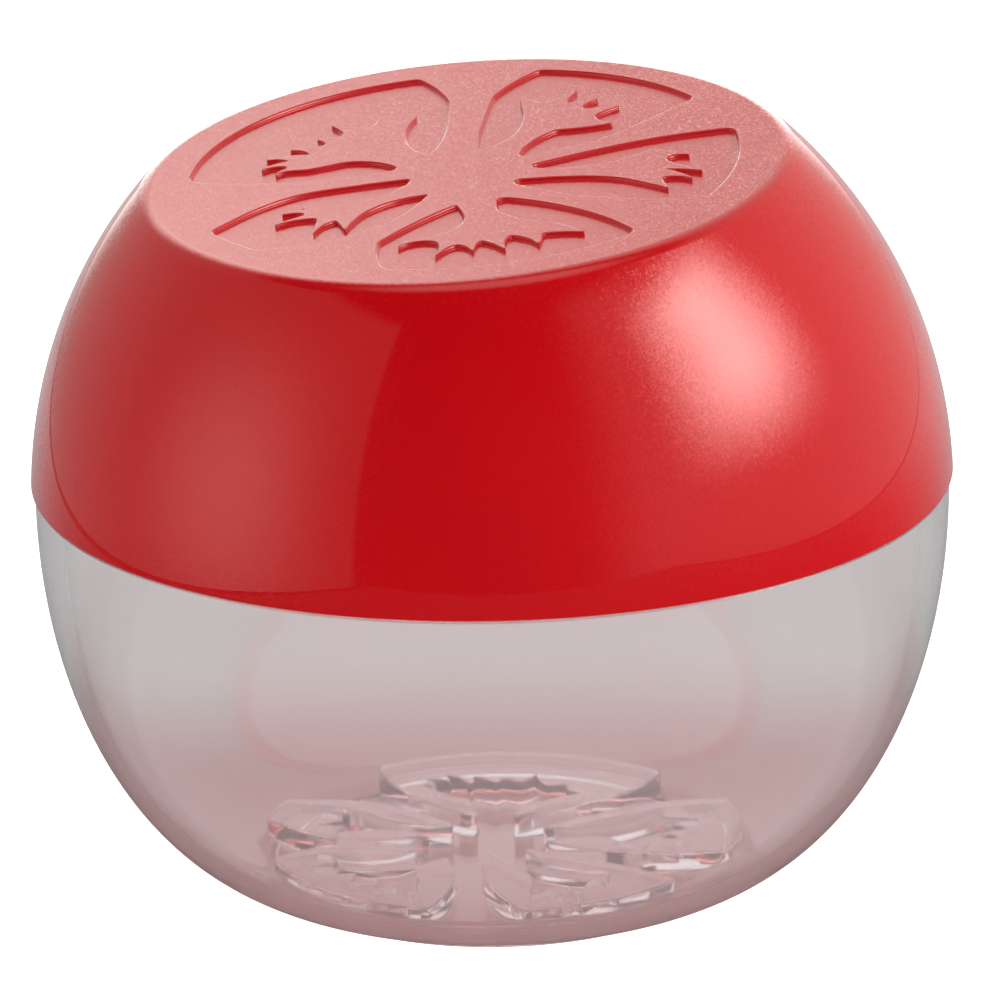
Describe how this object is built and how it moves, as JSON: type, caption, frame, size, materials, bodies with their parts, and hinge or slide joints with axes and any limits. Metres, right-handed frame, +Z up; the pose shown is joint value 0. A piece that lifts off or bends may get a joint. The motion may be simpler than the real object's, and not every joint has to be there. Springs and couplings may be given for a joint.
{
  "type": "tomato keeper",
  "caption": "Round produce keeper shaped like a tomato: an opaque domed lid with a slanted top and sliced-fruit relief lifts off a clear bowl with a foot ring and a raised relief floor.",
  "frame": {"origin": "centre of the foot ring, on the surface that the keeper stands on", "axes": "+Z up, along the axis of the bowl and lid; the lid's slanted flat top is lowest towards -Y"},
  "size_m": [0.1138, 0.1138, 0.0956],
  "materials": {
    "clear_plastic": "clear, polished moulded plastic",
    "red_plastic": "high gloss with a very fine pearl fleck; satin on the flat top"
  },
  "bodies": {
    "base": {"base_bowl": "clear_plastic"},
    "lid": {"lid": "red_plastic"}
  },
  "joints": [
    {"name": "lid_lift", "type": "slide", "parent": "base", "child": "lid", "axis": [0, 0, 1], "range_m": [0, 0.1]}
  ]
}
